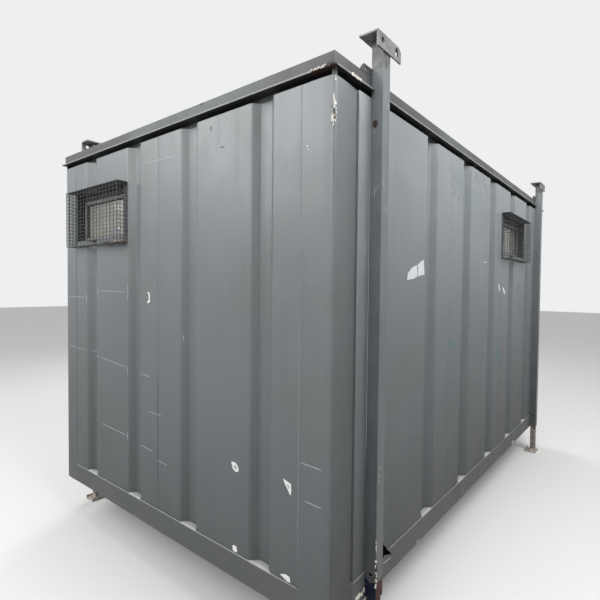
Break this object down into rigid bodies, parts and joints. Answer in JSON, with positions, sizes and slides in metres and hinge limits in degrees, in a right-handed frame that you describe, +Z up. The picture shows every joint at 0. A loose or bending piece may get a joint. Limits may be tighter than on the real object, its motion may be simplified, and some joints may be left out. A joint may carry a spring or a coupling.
{
  "type": "portable site cabin",
  "caption": "Corrugated steel site cabin on adjustable jacklegs, with lifting angles, mesh-guarded windows and a shut steel door.",
  "frame": {"origin": "on the ground under the middle of the cabin, level with the undersides of the foot plates", "axes": "+X along the long walls, from the windowed left end to the right end; +Y across, from the front long wall to the back wall with the door; +Z up"},
  "size_m": [4.274, 2.88, 3.06],
  "materials": {
    "grey_paint": "semi-gloss",
    "galvanised": "dull galvanised",
    "leg_steel": "worn and rusty",
    "base_steel": "matt",
    "guard": "satin",
    "window_frame": "satin",
    "glass": "polished",
    "lining": "matt",
    "plywood": "matt"
  },
  "bodies": {
    "cabin": {"back_wall_lining": "lining", "back_wall_sheet": "grey_paint", "ceiling_panel": "lining", "corner_post_back_left": "grey_paint", "corner_post_back_right": "grey_paint", "corner_post_front_left": "grey_paint", "corner_post_front_right": "grey_paint", "door_frame": "grey_paint", "door_leaf": "grey_paint", "floor_bearers": "base_steel", "floor_deck": "plywood", "front_wall_lining": "lining", "front_wall_sheet": "grey_paint", "left_wall_lining": "lining", "left_wall_sheet": "grey_paint", "leg_sleeve_back_left": "grey_paint", "leg_sleeve_back_right": "grey_paint", "leg_sleeve_front_left": "grey_paint", "leg_sleeve_front_right": "grey_paint", "lifting_angles": "galvanised", "right_wall_lining": "lining", "right_wall_sheet": "grey_paint", "roof_lugs": "grey_paint", "roof_rail_back": "grey_paint", "roof_rail_front": "grey_paint", "roof_rail_left": "grey_paint", "roof_rail_right": "grey_paint", "roof_sheet": "grey_paint", "sole_bar_back": "grey_paint", "sole_bar_front": "grey_paint", "sole_bar_left": "grey_paint", "sole_bar_right": "grey_paint", "window_frame_front": "window_frame", "window_frame_left": "window_frame", "window_frame_right": "window_frame", "window_guard_front": "guard", "window_guard_left": "guard", "window_guard_right": "guard", "window_pane_front": "glass", "window_pane_left": "glass", "window_pane_right": "glass"},
    "jackleg_front_left": {"inner_leg_front_left": "leg_steel"},
    "jackleg_front_right": {"inner_leg_front_right": "leg_steel"},
    "jackleg_back_left": {"inner_leg_back_left": "leg_steel"},
    "jackleg_back_right": {"inner_leg_back_right": "leg_steel"}
  },
  "joints": [
    {"name": "jackleg_front_left_slide", "type": "slide", "parent": "cabin", "child": "jackleg_front_left", "axis": [0, 0, -1], "range_m": [-0.24, 0.75]},
    {"name": "jackleg_front_right_slide", "type": "slide", "parent": "cabin", "child": "jackleg_front_right", "axis": [0, 0, -1], "range_m": [-0.24, 0.75]},
    {"name": "jackleg_back_left_slide", "type": "slide", "parent": "cabin", "child": "jackleg_back_left", "axis": [0, 0, -1], "range_m": [-0.24, 0.75]},
    {"name": "jackleg_back_right_slide", "type": "slide", "parent": "cabin", "child": "jackleg_back_right", "axis": [0, 0, -1], "range_m": [-0.24, 0.75]}
  ]
}
